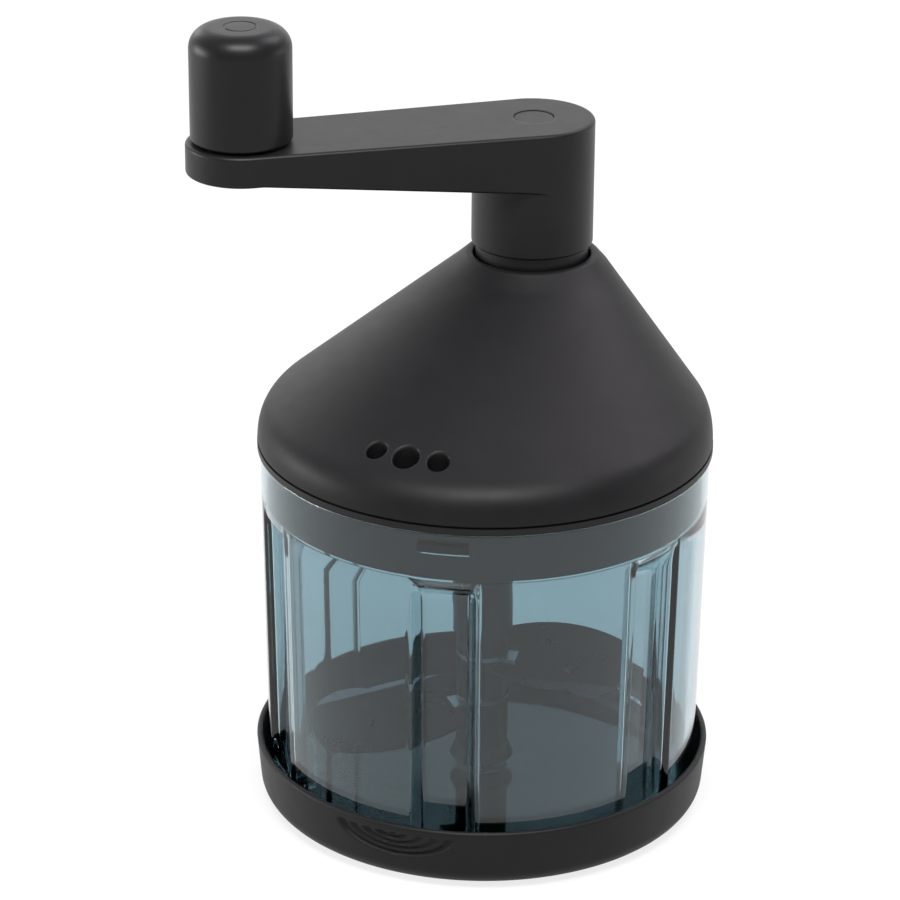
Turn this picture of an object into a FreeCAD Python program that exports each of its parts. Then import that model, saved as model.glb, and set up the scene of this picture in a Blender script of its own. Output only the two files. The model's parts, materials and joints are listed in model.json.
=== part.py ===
import FreeCAD, Part
import math
import os

# Hand crank food chopper. Millimetres, +Z up.
# Origin: centre of the resting face. -Y is the pouring side of the lid,
# and the crank stands over the opposite side, on the +Y half.

# ---- driving dimensions: bowl and tray ---------------------------------
TRAY_RIM_R = 61.1
TRAY_FOOT_R = 59.7
TRAY_UNDER_Z = 0.8
TRAY_FLOOR_Z = 3.6
TRAY_RIM_Z = 16.4
TRAY_EDGE = 5.0
TRAY_LIP = 0.85
TRAY_SEAT_R = 58.0
TRAY_CURVE = 4.0
GRIP_R = 52.0
GRIP_DEPTH = 1.0
GRIP_GROOVES = (16.0, 28.0, 40.0)
GRIP_GROOVE_W = 1.6
GRIP_GROOVE_D = 0.5
PAD_HALF_W = 17.4
PAD_HALF_H = 7.0
PAD_TOP_Z = 15.0
PAD_TURN = 2.0
PAD_DEPTH = 1.0
PAD_RIDGES = 4
RIDGE_START = 0.62
RIDGE_END = 0.98

BOWL_LOW_R = 57.8
BOWL_LOW_Z = 12.6
BOWL_HIGH_R = 59.4
BOWL_HIGH_Z = 91.0
BOWL_TOP_R = 59.6
BOWL_TOP_Z = 101.0
BOWL_EDGE = 9.0
BOWL_WALL = 2.4
BAND_R = 57.4
BAND_Z = 87.4
FLUTES = 6
FLUTE_FIRST = 14.0
FLUTE_DEPTH = 4.4
FLUTE_HALF_W = 8.6
FLUTE_FLOOR_HALF_W = 6.4
FLUTE_TOP_Z = 86.6
FLUTE_RUNOUT = 4.4
LUGS = 3
LUG_W = 12.5
LUG_Z = 95.4
LUG_H = 2.6
LUG_R = 58.1
SLOT_GAP = 0.35
PIVOT_BOSS_R = 6.5
PIVOT_BOSS_Z = 9.4
PIVOT_PIN_R = 2.0
PIVOT_PIN_TOP = 22.0
PIVOT_PIN_LOW = TRAY_FLOOR_Z + 1.2

# ---- driving dimensions: blades ----------------------------------------
HUB_R = 7.0
HUB_LOW_Z = 9.9
HUB_FOOT = 1.6
HUB_FOOT_H = 4.0
LOWER_BLADE_Z = 27.0
UPPER_BLADE_Z = 40.0
BLADE_T = 1.2
BLADE_CHORD = 21.0
UPPER_BLADE_LEN = 40.0
LOWER_BLADE_LEN = 47.5
UPPER_BLADE_ANGLE = 14.0
LOWER_BLADE_ANGLE = 224.0
UPPER_BLADE_TILT = 27.0
LOWER_BLADE_TILT = -26.0
LOWER_BLADE_DROOP = 6.0
BLADE_SQUARE = 8.0
SQUARE_TOP_Z = 46.2
NECK_HALF_W = 6.0
BEVEL_W = 1.8
BEVEL_ANGLE = 18.0
SHAFT_SHOULDER_Z = 46.8
SHAFT_TOP_Z = 88.0
SHAFT_HEX = 9.0
SHAFT_TIP = 5.0
SHAFT_TIP_R = 2.5

# ---- driving dimensions: lid -------------------------------------------
LID_R = 60.0
FLANGE_R = 60.1
FLANGE_Z = 103.7
SEAM = 0.5
SEAM_DEPTH = 0.9
PLATE_Z = 103.2
SKIRT_R = 56.9
SKIRT_WALL = 2.0
SKIRT_LOW_Z = 87.8
KNEE_Z = 110.7
KNEE_END_Z = 113.6
WALL_END_Z = 103.9
CONE_TOP_R = 19.6
CONE_TOP_Z = 143.3
LIP_R = 17.0
LIP_Z = 145.4
LID_WALL = 2.3
NECK_WELL_R = 15.5
NECK_WELL_Z = 138.0
NECK_LOW_Z = 127.0
NECK_R = 18.0
NECK_BUSH_R = 11.6
NECK_FLANGE_R = 14.4
BUSH_FLANGE = 1.2
POUR_RING_R = 48.5
POUR_STEP = 10.2
POUR_RADII = (3.0, 3.5, 3.05)
POUR_STEP_OUT = 0.4
POUR_TUBE_WALL = 1.6
SCREW_RING_R = 49.5
SCREW_POST_R = 3.4
SCREW_ANGLES = (40, 140, 222, 318)
SCREW_R = 1.2
SCREW_CLEAR_R = 1.6
SCREW_BITE = 4.6
SCREW_HEAD_R = 2.8
SCREW_HEAD_T = 1.6
SCREW_SLOT = 0.7
SINK_R = 3.0
SINK = 0.9

# ---- driving dimensions: gears and crank -------------------------------
MODULE = 1.0
GEAR_TEETH = 40
PINION_TEETH = 18
GEAR_THICK = 6.0
GEAR_Z = 107.0
BACKLASH = 0.16
PRESSURE = math.radians(20.0)
AXIS_GAP = MODULE * (GEAR_TEETH + PINION_TEETH) / 2.0
TUBE_R = 8.0
TUBE_LOW_Z = 47.2
RUN = 0.06
COVER_TOP_Z = 117.4
COVER_WALL = 1.6
COVER_GEAR_R = 21.6
COVER_PINION_R = 11.2
COVER_BOSS_R = 5.2
COVER_HOLE_R = 7.0
COVER_TAB_R = 3.6
COVER_TAB_T = 2.0
COVER_TAB_SIDE = 25.8
COVER_TAB_BACK = 25.0
COVER_TAB_FRONT = 15.8
COVER_HEAD_R = 2.6
COVER_SCREW_TIP = 1.6
PINION_BUSH_R = 9.6
PINION_FLANGE_R = 10.8
PINION_STUB_R = 3.0
PIVOT_BUSH_R = 5.4
PIVOT_R = 4.0
PIVOT_SINK = 2.4
BOSS_WALL = 2.4
BOSS_DROP = 3.0
GEAR_HEX = 11.0
GEAR_WEB_R = 17.0
GEAR_WEB_IN = 9.0
GEAR_WEB_D = 1.8
GEAR_CLIP_R = 6.6
GEAR_CLIP_T = 0.8
GEAR_GROOVE_R = 3.2
WAIST_R = 6.6
GEAR_CLIP_GAP = 1.1
GEAR_CLIP_MOUTH = 5.0
PINION_OVERLAP = 0.4
SHAFT_PLAY = 0.5
COLLAR_R = 15.0
COLLAR_LOW_Z = 139.4
COLLAR_TOP_Z = 148.2
JOURNAL_R = 9.0
SLEEVE_R = 16.15
SLEEVE_LOW_Z = 148.4
ARM_TOP_Z = 182.8
ARM_ROOT_Z = 166.5
ARM_END_Z = 174.5
ARM_LEN = 78.3
ARM_ANGLE = 220.0
ARM_END_R = 14.6
ARM_EDGE = 1.0
SLEEVE_EDGE = 0.8
CAP_SEAT_Z = 172.0
ARM_FLAT = 75.6
ARM_SOCKET_GAP = 0.4
DRIVE_HEX = 14.0
DRIVE_TOP_Z = 160.0
DRIVE_SCREW_R = 2.5
DRIVE_HEAD_R = 4.6
DRIVE_SCREW_LOW = 150.0
CAP_R = 5.3
CAP_T = 1.8
CAP_SINK = 0.15
CAP_FIT = 0.02
KNOB_R = 13.3
KNOB_LOW_Z = 183.4
KNOB_TOP_Z = 213.3
KNOB_EDGE = 5.6
KNOB_PIN_R = 3.0
KNOB_PIN_TOP = 202.0
KNOB_WASHER_R = 7.0
KNOB_WASHER_T = 0.4
KNOB_BORE_R = 10.6
KNOB_BORE_Z = 205.0
KNOB_MARK_R = 4.0
KNOB_MARK_W = 0.4
KNOB_MARK_D = 0.25
CORE_R = 6.2
CORE_WEB = 2.2
CLIP_Z = 199.4
CLIP_T = 0.8
CLIP_R = 4.8
CLIP_GROOVE_R = 2.3

HUB = FreeCAD.Vector(0.0, AXIS_GAP, 0.0)
UP = FreeCAD.Vector(0, 0, 1)
CENTRE = FreeCAD.Vector(0, 0, 0)


def at(x, y, z=0.0):
    return FreeCAD.Vector(x, y, z)


def polar(radius, angle, origin=CENTRE, z=0.0):
    a = math.radians(angle)
    return at(origin.x + radius * math.cos(a), origin.y + radius * math.sin(a), z)


def cyl(radius, low, high, axis=CENTRE):
    return Part.makeCylinder(radius, high - low, at(axis.x, axis.y, low))


def ring(outer, inner, low, high, axis=CENTRE):
    return cyl(outer, low, high, axis).cut(cyl(inner, low - 1, high + 1, axis))


def fuse(*solids):
    return solids[0].multiFuse(list(solids[1:])).removeSplitter()


def prism(points, low, high):
    wire = Part.makePolygon([at(x, y, low) for x, y in points + points[:1]])
    return Part.Face(wire).extrude(at(0, 0, high - low))


def polygon_bar(sides, flats, low, high, axis=CENTRE):
    radius = flats / 2.0 / math.cos(math.pi / sides)
    corners = [polar(radius, 360.0 * (k + 0.5) / sides, axis) for k in range(sides)]
    return prism([(p.x, p.y) for p in corners], low, high)


def turned(edges):
    """Solid of revolution about Z from the edges of a closed (r, z) outline."""
    face = Part.Face(Part.Wire(edges))
    return face.revolve(CENTRE, UP, 360)


def seg(a, b):
    return Part.makeLine(at(a[0], 0, a[1]), at(b[0], 0, b[1]))


def bend(a, b, c):
    return Part.Arc(at(a[0], 0, a[1]), at(b[0], 0, b[1]), at(c[0], 0, c[1])).toShape()


def path(points):
    return [seg(a, b) for a, b in zip(points, points[1:])]


def spun(shape, angle):
    copy = shape.copy()
    copy.rotate(CENTRE, UP, angle)
    return copy


def capsule(r1, p1, r2, p2, low, high):
    """Prism over two circles and their outer tangents."""
    gap = p2.sub(p1)
    heading = math.atan2(gap.y, gap.x)
    lean = math.acos((r1 - r2) / math.hypot(gap.x, gap.y))
    side = [heading + lean, heading - lean]
    body = [p1.add(at(r1 * math.cos(side[0]), r1 * math.sin(side[0]))),
            p1.add(at(r1 * math.cos(side[1]), r1 * math.sin(side[1]))),
            p2.add(at(r2 * math.cos(side[1]), r2 * math.sin(side[1]))),
            p2.add(at(r2 * math.cos(side[0]), r2 * math.sin(side[0])))]
    web = prism([(p.x, p.y) for p in body], low, high)
    return fuse(web, cyl(r1, low, high, p1), cyl(r2, low, high, p2))


# ---- tray --------------------------------------------------------------
def tray_outside(inset):
    """Outer form of the tray, with every wall moved in by inset."""
    foot = TRAY_FOOT_R - inset
    rim = TRAY_RIM_R - inset
    low = TRAY_UNDER_Z + inset * 0.5
    diag = TRAY_EDGE * math.sqrt(0.5)
    mid = (foot - TRAY_EDGE + diag, low + TRAY_EDGE - diag)
    edges = path([(0, TRAY_RIM_Z), (0, low), (foot - TRAY_EDGE, low)])
    edges.append(bend((foot - TRAY_EDGE, low), mid, (foot, low + TRAY_EDGE)))
    edges += path([(foot, low + TRAY_EDGE), (rim, TRAY_RIM_Z), (0, TRAY_RIM_Z)])
    return turned(edges)


def finger_pad():
    """Half-ellipse recess with concentric ridges, just under the rim."""
    def half(scale):
        ellipse = Part.Ellipse(CENTRE, PAD_HALF_W, PAD_HALF_H).toShape()
        disc = Part.Face(Part.Wire([ellipse]))
        disc.scale(scale, CENTRE)
        disc.rotate(CENTRE, at(1, 0, 0), 90)
        disc.translate(at(0, -TRAY_SEAT_R * 0.8, PAD_TOP_Z))
        block = disc.extrude(at(0, -TRAY_SEAT_R * 0.4, 0))
        keep = Part.makeBox(2 * TRAY_RIM_R, 2 * TRAY_RIM_R, PAD_TOP_Z, at(-TRAY_RIM_R, -2 * TRAY_RIM_R, 0))
        return block.common(keep)

    skin = tray_outside(0.0).cut(tray_outside(PAD_DEPTH))
    pad = half(1.0)
    step = 1.0 / (PAD_RIDGES + 0.5)
    for k in range(PAD_RIDGES):
        outer = half(1.0 - step * (k + RIDGE_START))
        inner = half(1.0 - step * (k + RIDGE_END))
        pad = pad.cut(outer.cut(inner))
    return spun(skin.common(pad), PAD_TURN)


def base_tray():
    lip_in = TRAY_RIM_R - 2 * TRAY_LIP
    seat = TRAY_SEAT_R
    diag = TRAY_CURVE * math.sqrt(0.5)
    floor_end = (seat - TRAY_CURVE, TRAY_FLOOR_Z)
    mid = (seat - TRAY_CURVE + diag, TRAY_FLOOR_Z + TRAY_CURVE - diag)
    wall_low = (seat, TRAY_FLOOR_Z + TRAY_CURVE)
    hollow = path([(0, TRAY_RIM_Z + 1), (0, TRAY_FLOOR_Z), floor_end])
    hollow.append(bend(floor_end, mid, wall_low))
    hollow += path([wall_low, (lip_in, TRAY_RIM_Z), (lip_in, TRAY_RIM_Z + 1), (0, TRAY_RIM_Z + 1)])
    lip = Part.makeTorus(TRAY_RIM_R - TRAY_LIP, TRAY_LIP, at(0, 0, TRAY_RIM_Z))
    tray = tray_outside(0.0).cut(turned(hollow)).fuse(lip)
    tray = tray.cut(finger_pad())
    recess = cyl(GRIP_R, TRAY_UNDER_Z - 1, TRAY_UNDER_Z + GRIP_DEPTH)
    return tray.cut(recess).removeSplitter()


def tray_grip_pad():
    pad = cyl(GRIP_R, 0, TRAY_UNDER_Z + GRIP_DEPTH)
    for radius in GRIP_GROOVES:
        pad = pad.cut(ring(radius + GRIP_GROOVE_W, radius, -1, GRIP_GROOVE_D))
    return pad


# ---- bowl --------------------------------------------------------------
def flute(grow):
    """One flute as a solid, on the +X side, larger all round by grow."""
    flare = (FLUTE_HALF_W - FLUTE_FLOOR_HALF_W) / FLUTE_DEPTH
    floor_half = FLUTE_FLOOR_HALF_W + grow * 0.8
    outer_half = FLUTE_HALF_W + grow + flare * FLUTE_DEPTH
    top = FLUTE_TOP_Z + grow * 0.4

    def section(z, floor_r, rim_r):
        outer = [(rim_r + FLUTE_DEPTH, -outer_half), (rim_r + FLUTE_DEPTH, outer_half)]
        inner = [(floor_r - grow, floor_half), (floor_r - grow, -floor_half)]
        points = [at(x, y, z) for x, y in outer + inner]
        return Part.makePolygon(points + points[:1])

    low = section(0, BOWL_LOW_R - FLUTE_DEPTH, BOWL_LOW_R)
    high = section(top - FLUTE_RUNOUT, BOWL_HIGH_R - FLUTE_DEPTH, BOWL_HIGH_R)
    end = section(top, BOWL_HIGH_R + SLOT_GAP, BOWL_HIGH_R)
    return Part.makeLoft([low, high, end], True, True)


def fluted(solid, grow):
    for k in range(FLUTES):
        solid = solid.cut(spun(flute(grow), FLUTE_FIRST - 90 + 360.0 / FLUTES * k))
    return solid


def rounded_cup(low_z, edge, low_r, high_r):
    diag = edge * math.sqrt(0.5)
    start = (low_r - edge, low_z)
    finish = (low_r, low_z + edge)
    middle = (low_r - edge + diag, low_z + edge - diag)
    edges = path([(0, BOWL_TOP_Z), (0, low_z), start])
    edges.append(bend(start, middle, finish))
    top_r = high_r + BOWL_TOP_R - BOWL_HIGH_R
    edges += path([finish, (high_r, BOWL_HIGH_Z), (top_r, BOWL_TOP_Z), (0, BOWL_TOP_Z)])
    return turned(edges)


def at_lugs(shape):
    return [spun(shape, FLUTE_FIRST - 90 + 360.0 / LUGS * k) for k in range(LUGS)]


def lug_block(width, low, high, outer):
    block = Part.makeBox(20, width, high - low, at(BAND_R - 8, -width / 2, low))
    return block.common(cyl(outer, low, high))


def bowl():
    outside = fluted(rounded_cup(TRAY_FLOOR_Z, BOWL_EDGE, BOWL_LOW_R, BOWL_HIGH_R), 0.0)
    edge = BOWL_EDGE - BOWL_WALL
    inside = rounded_cup(TRAY_FLOOR_Z + BOWL_WALL, edge, BOWL_LOW_R - BOWL_WALL, BOWL_HIGH_R - BOWL_WALL)
    inside = fluted(inside, BOWL_WALL)
    shell = outside.cut(inside).cut(cyl(BAND_R, BAND_Z, BOWL_TOP_Z + 1))
    width = LUG_W + 2 * SLOT_GAP
    slot = lug_block(width, LUG_Z - SLOT_GAP, BOWL_TOP_Z + 1, LUG_R + SLOT_GAP)
    for cut in at_lugs(slot):
        shell = shell.cut(cut)
    boss = cyl(PIVOT_BOSS_R, TRAY_FLOOR_Z + BOWL_WALL, PIVOT_BOSS_Z)
    socket = cyl(PIVOT_PIN_R, PIVOT_PIN_LOW, PIVOT_BOSS_Z + 1)
    return fuse(shell, boss).cut(socket)


def bowl_pivot_pin():
    point = Part.makeCone(PIVOT_PIN_R, PIVOT_PIN_R / 2, 1.0, at(0, 0, PIVOT_PIN_TOP - 1))
    return fuse(cyl(PIVOT_PIN_R, PIVOT_PIN_LOW, PIVOT_PIN_TOP - 1), point)


# ---- blades ------------------------------------------------------------
def blade_hub():
    body = cyl(HUB_R, HUB_LOW_Z, LOWER_BLADE_Z)
    square = polygon_bar(4, BLADE_SQUARE, LOWER_BLADE_Z, SQUARE_TOP_Z)
    foot = Part.makeCone(HUB_R + HUB_FOOT, HUB_R, HUB_FOOT_H, at(0, 0, HUB_LOW_Z))
    bore = cyl(PIVOT_PIN_R + RUN, HUB_LOW_Z - 1, PIVOT_PIN_TOP + RUN)
    return fuse(body, foot, square).cut(bore)


def blade(length, z, angle, tilt, droop):
    """Curved plate along +X with a bevelled cutting edge and a square-holed root."""
    half = BLADE_CHORD / 2
    root_half = half / 2
    arcs = [((0, -root_half), (length * 0.22, -half * 0.86), (length * 0.62, -half)),
            ((length * 0.62, -half), (length * 0.93, -half * 0.86), (length, -half * 0.2)),
            ((length, -half * 0.2), (length * 0.985, half * 0.3), (length * 0.95, half * 0.62)),
            ((length * 0.95, half * 0.62), (length * 0.5, half * 1.05), (0, root_half))]
    edges = [Part.Arc(*[at(x, y) for x, y in arc]).toShape() for arc in arcs]
    edges.append(Part.makeLine(at(0, root_half), at(0, -root_half)))
    plate = Part.Face(Part.Wire(edges)).extrude(at(0, 0, BLADE_T))
    bevel_start = BEVEL_W - half
    bevel = Part.makeBox(length * 2, half, BLADE_CHORD, at(0, bevel_start - half, BLADE_T))
    bevel.rotate(at(0, bevel_start, BLADE_T), at(1, 0, 0), BEVEL_ANGLE)
    plate = plate.cut(bevel)
    plate.rotate(at(0, 0, BLADE_T / 2), at(1, 0, 0), tilt)
    plate.rotate(at(0, 0, BLADE_T / 2), at(0, 1, 0), droop)
    plate = plate.cut(cyl(HUB_R, -BLADE_CHORD, BLADE_CHORD))
    neck_end = HUB_R + NECK_HALF_W / 2
    neck = prism([(root_half, -root_half), (neck_end, -NECK_HALF_W), (neck_end, NECK_HALF_W),
                  (root_half, root_half)], 0, BLADE_T)
    neck.rotate(at(0, 0, BLADE_T / 2), at(0, 1, 0), droop / 2)
    neck = neck.cut(cyl(HUB_R, -HUB_R, 0)).cut(cyl(HUB_R, BLADE_T, HUB_R))
    root = fuse(cyl(HUB_R, 0, BLADE_T), neck, plate)
    root.rotate(CENTRE, UP, angle)
    root = root.cut(polygon_bar(4, BLADE_SQUARE, -1, BLADE_T + 1))
    root.translate(at(0, 0, z))
    return root


def upper_blade():
    return blade(UPPER_BLADE_LEN, UPPER_BLADE_Z, UPPER_BLADE_ANGLE, UPPER_BLADE_TILT, 0.0)


def lower_blade():
    return blade(LOWER_BLADE_LEN, LOWER_BLADE_Z, LOWER_BLADE_ANGLE, LOWER_BLADE_TILT, LOWER_BLADE_DROOP)


def blade_spacer():
    body = cyl(HUB_R, LOWER_BLADE_Z + BLADE_T, UPPER_BLADE_Z)
    return body.cut(polygon_bar(4, BLADE_SQUARE, LOWER_BLADE_Z, UPPER_BLADE_Z + 1))


def blade_shaft():
    low = UPPER_BLADE_Z + BLADE_T
    head = cyl(HUB_R, low, SHAFT_SHOULDER_Z)
    hexagon = polygon_bar(6, SHAFT_HEX, SHAFT_SHOULDER_Z, SHAFT_TOP_Z)
    tip_low = SHAFT_TOP_Z - SHAFT_TIP
    tip = Part.makeCone(SHAFT_HEX, SHAFT_TIP_R, SHAFT_HEX - SHAFT_TIP_R, at(0, 0, tip_low))
    hexagon = hexagon.cut(cyl(SHAFT_HEX, tip_low, SHAFT_TOP_Z + 1).cut(tip))
    return fuse(head, hexagon).cut(polygon_bar(4, BLADE_SQUARE, low - 1, SQUARE_TOP_Z))


# ---- lid ---------------------------------------------------------------
def lid_section(z):
    """Radius and Y centre of the lid's round outline at height z."""
    def on_cone(height):
        t = (height - KNEE_Z) / (CONE_TOP_Z - KNEE_Z)
        return LID_R + (CONE_TOP_R - LID_R) * t, AXIS_GAP * t

    if z <= WALL_END_Z:
        return LID_R, 0.0
    if z >= KNEE_END_Z:
        return on_cone(z)
    end_r, end_y = on_cone(KNEE_END_Z)
    a = WALL_END_Z - 2 * KNEE_Z + KNEE_END_Z
    b = 2 * (KNEE_Z - WALL_END_Z)
    s = (-b + math.sqrt(b * b - 4 * a * (WALL_END_Z - z))) / (2 * a)
    return LID_R * (1 - s * s) + end_r * s * s, end_y * s * s


def lid_form(low, high, wall):
    """Solid of the lid's outline from low to high, thinner by wall all round."""
    steps = 8
    knee = [WALL_END_Z + (KNEE_END_Z - WALL_END_Z) * k / steps for k in range(steps + 1)]

    def loop(z):
        radius, y = lid_section(z)
        circle = Part.Circle(at(0, y, z - wall), UP, radius - wall)
        return Part.Wire([circle.toShape()])

    wall_part = cyl(LID_R - wall, low - wall, WALL_END_Z - wall)
    knee_part = Part.makeLoft([loop(z) for z in knee], True, False)
    cone_part = Part.makeLoft([loop(KNEE_END_Z), loop(high)], True, True)
    solid = fuse(wall_part, knee_part, cone_part)
    return solid.cut(cyl(LID_R * 2, 0, low))


def pour_places():
    steps = (-POUR_STEP, 0.0, POUR_STEP)
    return [(polar(POUR_RING_R, -90 + s), r) for s, r in zip(steps, POUR_RADII)]


def screw_places():
    return [polar(SCREW_RING_R, angle) for angle in SCREW_ANGLES]


def lid_cavity():
    return lid_form(FLANGE_Z, CONE_TOP_Z, LID_WALL)


def lid_shell():
    outer = lid_form(FLANGE_Z, CONE_TOP_Z, 0.0)
    lip = Part.makeCone(CONE_TOP_R, LIP_R, LIP_Z - CONE_TOP_Z, at(HUB.x, HUB.y, CONE_TOP_Z))
    cavity = lid_cavity()
    neck = cyl(NECK_R, NECK_LOW_Z, CONE_TOP_Z, HUB)
    posts = [cyl(SCREW_POST_R, FLANGE_Z, CONE_TOP_Z, p).common(cavity) for p in screw_places()]
    shell = fuse(outer.cut(cavity), lip, neck.common(outer), *posts)
    shell = shell.cut(cyl(NECK_WELL_R, NECK_WELL_Z, LIP_Z + 1, HUB))
    shell = shell.cut(cyl(NECK_BUSH_R, NECK_LOW_Z - 1, NECK_WELL_Z + 1, HUB))
    for place, radius in pour_places():
        shell = shell.cut(cyl(radius, FLANGE_Z - 1, CONE_TOP_Z, place))
    for place in screw_places():
        shell = shell.cut(cyl(SCREW_R, FLANGE_Z - 1, FLANGE_Z + SCREW_BITE, place))
    return shell


def lid_base():
    inner_r = SKIRT_R - SKIRT_WALL
    flange = fuse(ring(FLANGE_R - SEAM_DEPTH, inner_r, BOWL_TOP_Z, FLANGE_Z),
                  ring(FLANGE_R, inner_r, BOWL_TOP_Z + SEAM, FLANGE_Z - SEAM))
    plate = cyl(SKIRT_R, BOWL_TOP_Z, PLATE_Z)
    skirt = ring(SKIRT_R, inner_r, SKIRT_LOW_Z, BOWL_TOP_Z)
    lugs = at_lugs(lug_block(LUG_W, LUG_Z, LUG_Z + LUG_H, LUG_R))
    lugs = [lug.cut(cyl(SKIRT_R - 1, 0, LIP_Z)) for lug in lugs]
    boss_low = BOWL_TOP_Z - BOSS_DROP
    centre_boss = cyl(PINION_BUSH_R + BOSS_WALL, boss_low, PLATE_Z)
    pivot_boss = cyl(PIVOT_BUSH_R + BOSS_WALL, boss_low - 1, PLATE_Z, HUB)
    cover_bosses = [cyl(SINK_R, boss_low, PLATE_Z, p) for p in cover_screw_places()]
    tubes = [cyl(r + POUR_TUBE_WALL, PLATE_Z - 1, CONE_TOP_Z, p) for p, r in pour_places()]
    cavity = fuse(lid_cavity(), cyl(LID_R - LID_WALL, PLATE_Z - 1, FLANGE_Z))
    tubes = [tube.common(cavity) for tube in tubes]
    base = fuse(flange, plate, skirt, centre_boss, pivot_boss, *lugs, *cover_bosses, *tubes)
    base = base.cut(cyl(PINION_BUSH_R, SKIRT_LOW_Z, PLATE_Z + 1))
    base = base.cut(cyl(PIVOT_BUSH_R, BOWL_TOP_Z - PIVOT_SINK, PLATE_Z + 1, HUB))
    for place, radius in pour_places():
        base = base.cut(cyl(radius + POUR_STEP_OUT, SKIRT_LOW_Z, CONE_TOP_Z, place))
    for place in screw_places():
        base = base.cut(cyl(SCREW_CLEAR_R, SKIRT_LOW_Z, FLANGE_Z + 1, place))
        base = base.cut(cyl(SINK_R, SKIRT_LOW_Z, BOWL_TOP_Z + SINK, place))
    for place in cover_screw_places():
        base = base.cut(cyl(SCREW_R, BOWL_TOP_Z - COVER_SCREW_TIP, PLATE_Z + 1, place))
    return base


def pan_screw(place, tip_z, head_z, shank_r, head_r, up):
    """Screw from tip_z to head_z with its domed, cross-slotted head beyond head_z."""
    head_t = SCREW_HEAD_T * up
    low, high = sorted((tip_z, head_z))
    shank = cyl(shank_r, low, high, place)
    low, high = sorted((head_z, head_z + head_t))
    head = cyl(head_r, low, high, place)
    edge = [e for e in head.Edges if abs(e.BoundBox.Center.z - (head_z + head_t)) < 1e-6]
    head = head.makeFillet(SCREW_HEAD_T * 0.4, [e for e in edge if isinstance(e.Curve, Part.Circle)])
    screw = fuse(shank, head)
    corner = at(-head_r * 0.55, -SCREW_SLOT / 2, -SCREW_HEAD_T / 2)
    for angle in (0, 90):
        slot = Part.makeBox(head_r * 1.1, SCREW_SLOT, SCREW_HEAD_T, corner)
        slot.rotate(CENTRE, UP, angle)
        slot.translate(at(place.x, place.y, head_z + head_t))
        screw = screw.cut(slot)
    return screw


def lid_screws():
    head = BOWL_TOP_Z + SINK
    tip = FLANGE_Z + SCREW_BITE
    return Part.makeCompound([pan_screw(p, tip, head, SCREW_R, SCREW_HEAD_R, -1) for p in screw_places()])


def neck_bush():
    bore = JOURNAL_R + RUN
    tube = ring(NECK_BUSH_R, bore, NECK_LOW_Z - SEAM, NECK_WELL_Z, HUB)
    return fuse(tube, ring(NECK_FLANGE_R, bore, NECK_WELL_Z, NECK_WELL_Z + BUSH_FLANGE, HUB))


def pinion_bush():
    bore = TUBE_R + RUN
    tube = ring(PINION_BUSH_R, bore, BOWL_TOP_Z - BOSS_DROP, PLATE_Z)
    return fuse(tube, ring(PINION_FLANGE_R, bore, PLATE_Z, PLATE_Z + BUSH_FLANGE))


def pivot_bush():
    return ring(PIVOT_BUSH_R, PIVOT_R + RUN, BOWL_TOP_Z - PIVOT_SINK, PLATE_Z + BUSH_FLANGE, HUB)


# ---- gear train --------------------------------------------------------
def gear_outline(teeth, phase):
    """Points of an involute spur gear outline with a tooth centred on phase."""
    pitch = MODULE * teeth / 2.0
    base = pitch * math.cos(PRESSURE)
    tip = pitch + MODULE * 0.95
    root = pitch - MODULE * 1.25
    involute = math.tan(PRESSURE) - PRESSURE
    half_tooth = (math.pi * MODULE / 2.0 - BACKLASH) / 2.0 / pitch
    start = max(base, root + 0.15)
    flank = []
    for k in range(5):
        radius = start + (tip - start) * k / 4.0
        alpha = math.acos(base / radius)
        flank.append((radius, half_tooth + involute - (math.tan(alpha) - alpha)))
    points = []
    for tooth in range(teeth):
        centre = math.radians(phase) + 2 * math.pi * tooth / teeth
        left = [(root, centre - flank[0][1])] + [(r, centre - a) for r, a in flank]
        right = [(r, centre + a) for r, a in reversed(flank)] + [(root, centre + flank[0][1])]
        points += [(r * math.cos(a), r * math.sin(a)) for r, a in left + right]
    return points


def crank_gear():
    top = GEAR_Z + GEAR_THICK
    blank = prism(gear_outline(GEAR_TEETH, -90.0), GEAR_Z, top)
    blank.translate(HUB)
    web = ring(GEAR_WEB_R, GEAR_WEB_IN, top - GEAR_WEB_D, top + 1, HUB)
    under = ring(GEAR_WEB_R, GEAR_WEB_IN, GEAR_Z - 1, GEAR_Z + GEAR_WEB_D, HUB)
    return blank.cut(web).cut(under).cut(polygon_bar(6, GEAR_HEX, GEAR_Z - 1, top + 1, HUB))


def drive_pinion():
    low = GEAR_Z - PINION_OVERLAP
    high = GEAR_Z + GEAR_THICK + PINION_OVERLAP
    rest = PLATE_Z + BUSH_FLANGE + PINION_OVERLAP / 2
    phase = 90.0 + 180.0 / PINION_TEETH
    teeth = prism(gear_outline(PINION_TEETH, phase), low, high)
    collar = cyl(TUBE_R + BUSH_FLANGE, rest, low)
    tube = cyl(TUBE_R, TUBE_LOW_Z, rest)
    stub = cyl(PINION_STUB_R, high, COVER_TOP_Z + PINION_OVERLAP)
    body = fuse(teeth, collar, tube, stub)
    return body.cut(polygon_bar(6, SHAFT_HEX + SHAFT_PLAY, TUBE_LOW_Z - 1, SHAFT_TOP_Z + 2))


def cover_screw_places():
    sides = [at(side * COVER_TAB_SIDE, COVER_TAB_BACK) for side in (-1, 1)]
    return sides + [at(0.0, -COVER_TAB_FRONT)]


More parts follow.
